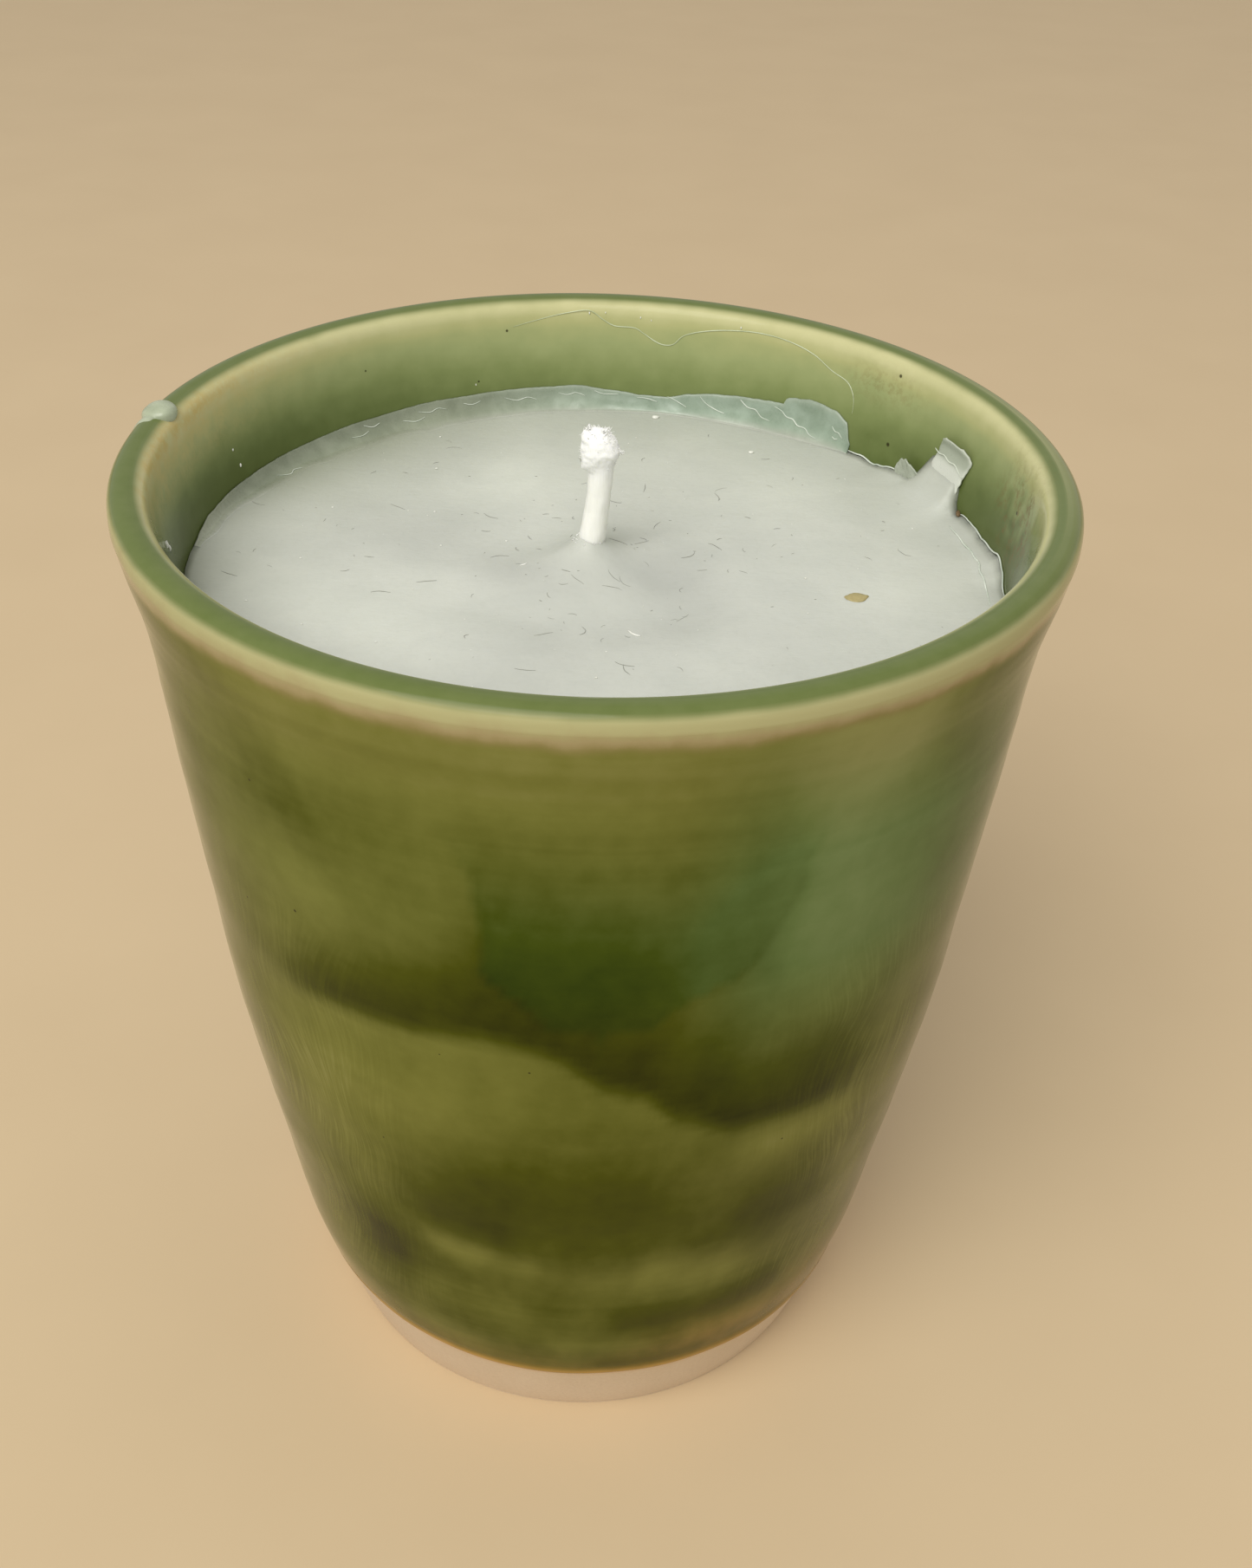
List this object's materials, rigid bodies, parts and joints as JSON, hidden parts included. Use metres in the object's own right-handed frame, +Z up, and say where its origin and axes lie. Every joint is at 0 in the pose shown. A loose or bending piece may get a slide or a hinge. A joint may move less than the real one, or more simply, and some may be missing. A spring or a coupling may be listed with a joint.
{
  "type": "ceramic cup candle",
  "caption": "Candle poured into a wheel-thrown, green-glazed stoneware tumbler, with a cotton wick and a bare clay foot.",
  "frame": {"origin": "middle of the foot, on the surface that the cup stands on", "axes": "+Z up along the cup's axis; -Y is the side that faces the viewer of the picture; +X to the viewer's right"},
  "size_m": [0.0882, 0.0882, 0.102],
  "materials": {
    "glazed_stoneware": "glossy translucent green celadon glaze, bare pale clay at the foot",
    "candle_wax": "satin, slightly translucent pale grey-green wax",
    "thin_wax": "thin translucent wax, glossy",
    "cotton_wick": "waxed braided cotton",
    "tinplate": "dull tinplate",
    "foam_sticker": "matt white foam"
  },
  "bodies": {
    "root": {"cup_body": "glazed_stoneware", "wax_fill": "candle_wax", "wick": "cotton_wick", "wick_tab": "tinplate", "wick_sticker": "foam_sticker", "wax_film_back": "thin_wax", "wax_flake_right": "thin_wax", "wax_drip_on_lip": "thin_wax"}
  },
  "joints": []
}
